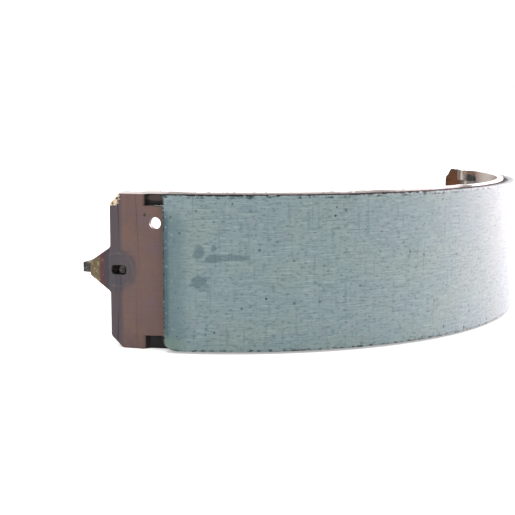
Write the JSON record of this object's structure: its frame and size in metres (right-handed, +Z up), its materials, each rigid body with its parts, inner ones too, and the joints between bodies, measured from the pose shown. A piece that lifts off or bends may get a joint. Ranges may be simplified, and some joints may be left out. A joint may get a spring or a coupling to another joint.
{
  "type": "brake shoe",
  "caption": "Drum brake shoe: a curved friction lining bonded to a rolled steel table, with a flat rib welded inside it.",
  "frame": {"origin": "on the floor, under the middle of the shoe's box", "axes": "+Z up along the drum's axis, +X along the shoe from end to end, -Y towards the lining's crown"},
  "size_m": [0.2316, 0.1049, 0.057],
  "materials": {
    "table_steel": "satin",
    "web_steel": "satin",
    "friction_lining": "ground matt"
  },
  "bodies": {
    "root": {"table": "table_steel", "web": "web_steel", "lining": "friction_lining"}
  },
  "joints": []
}
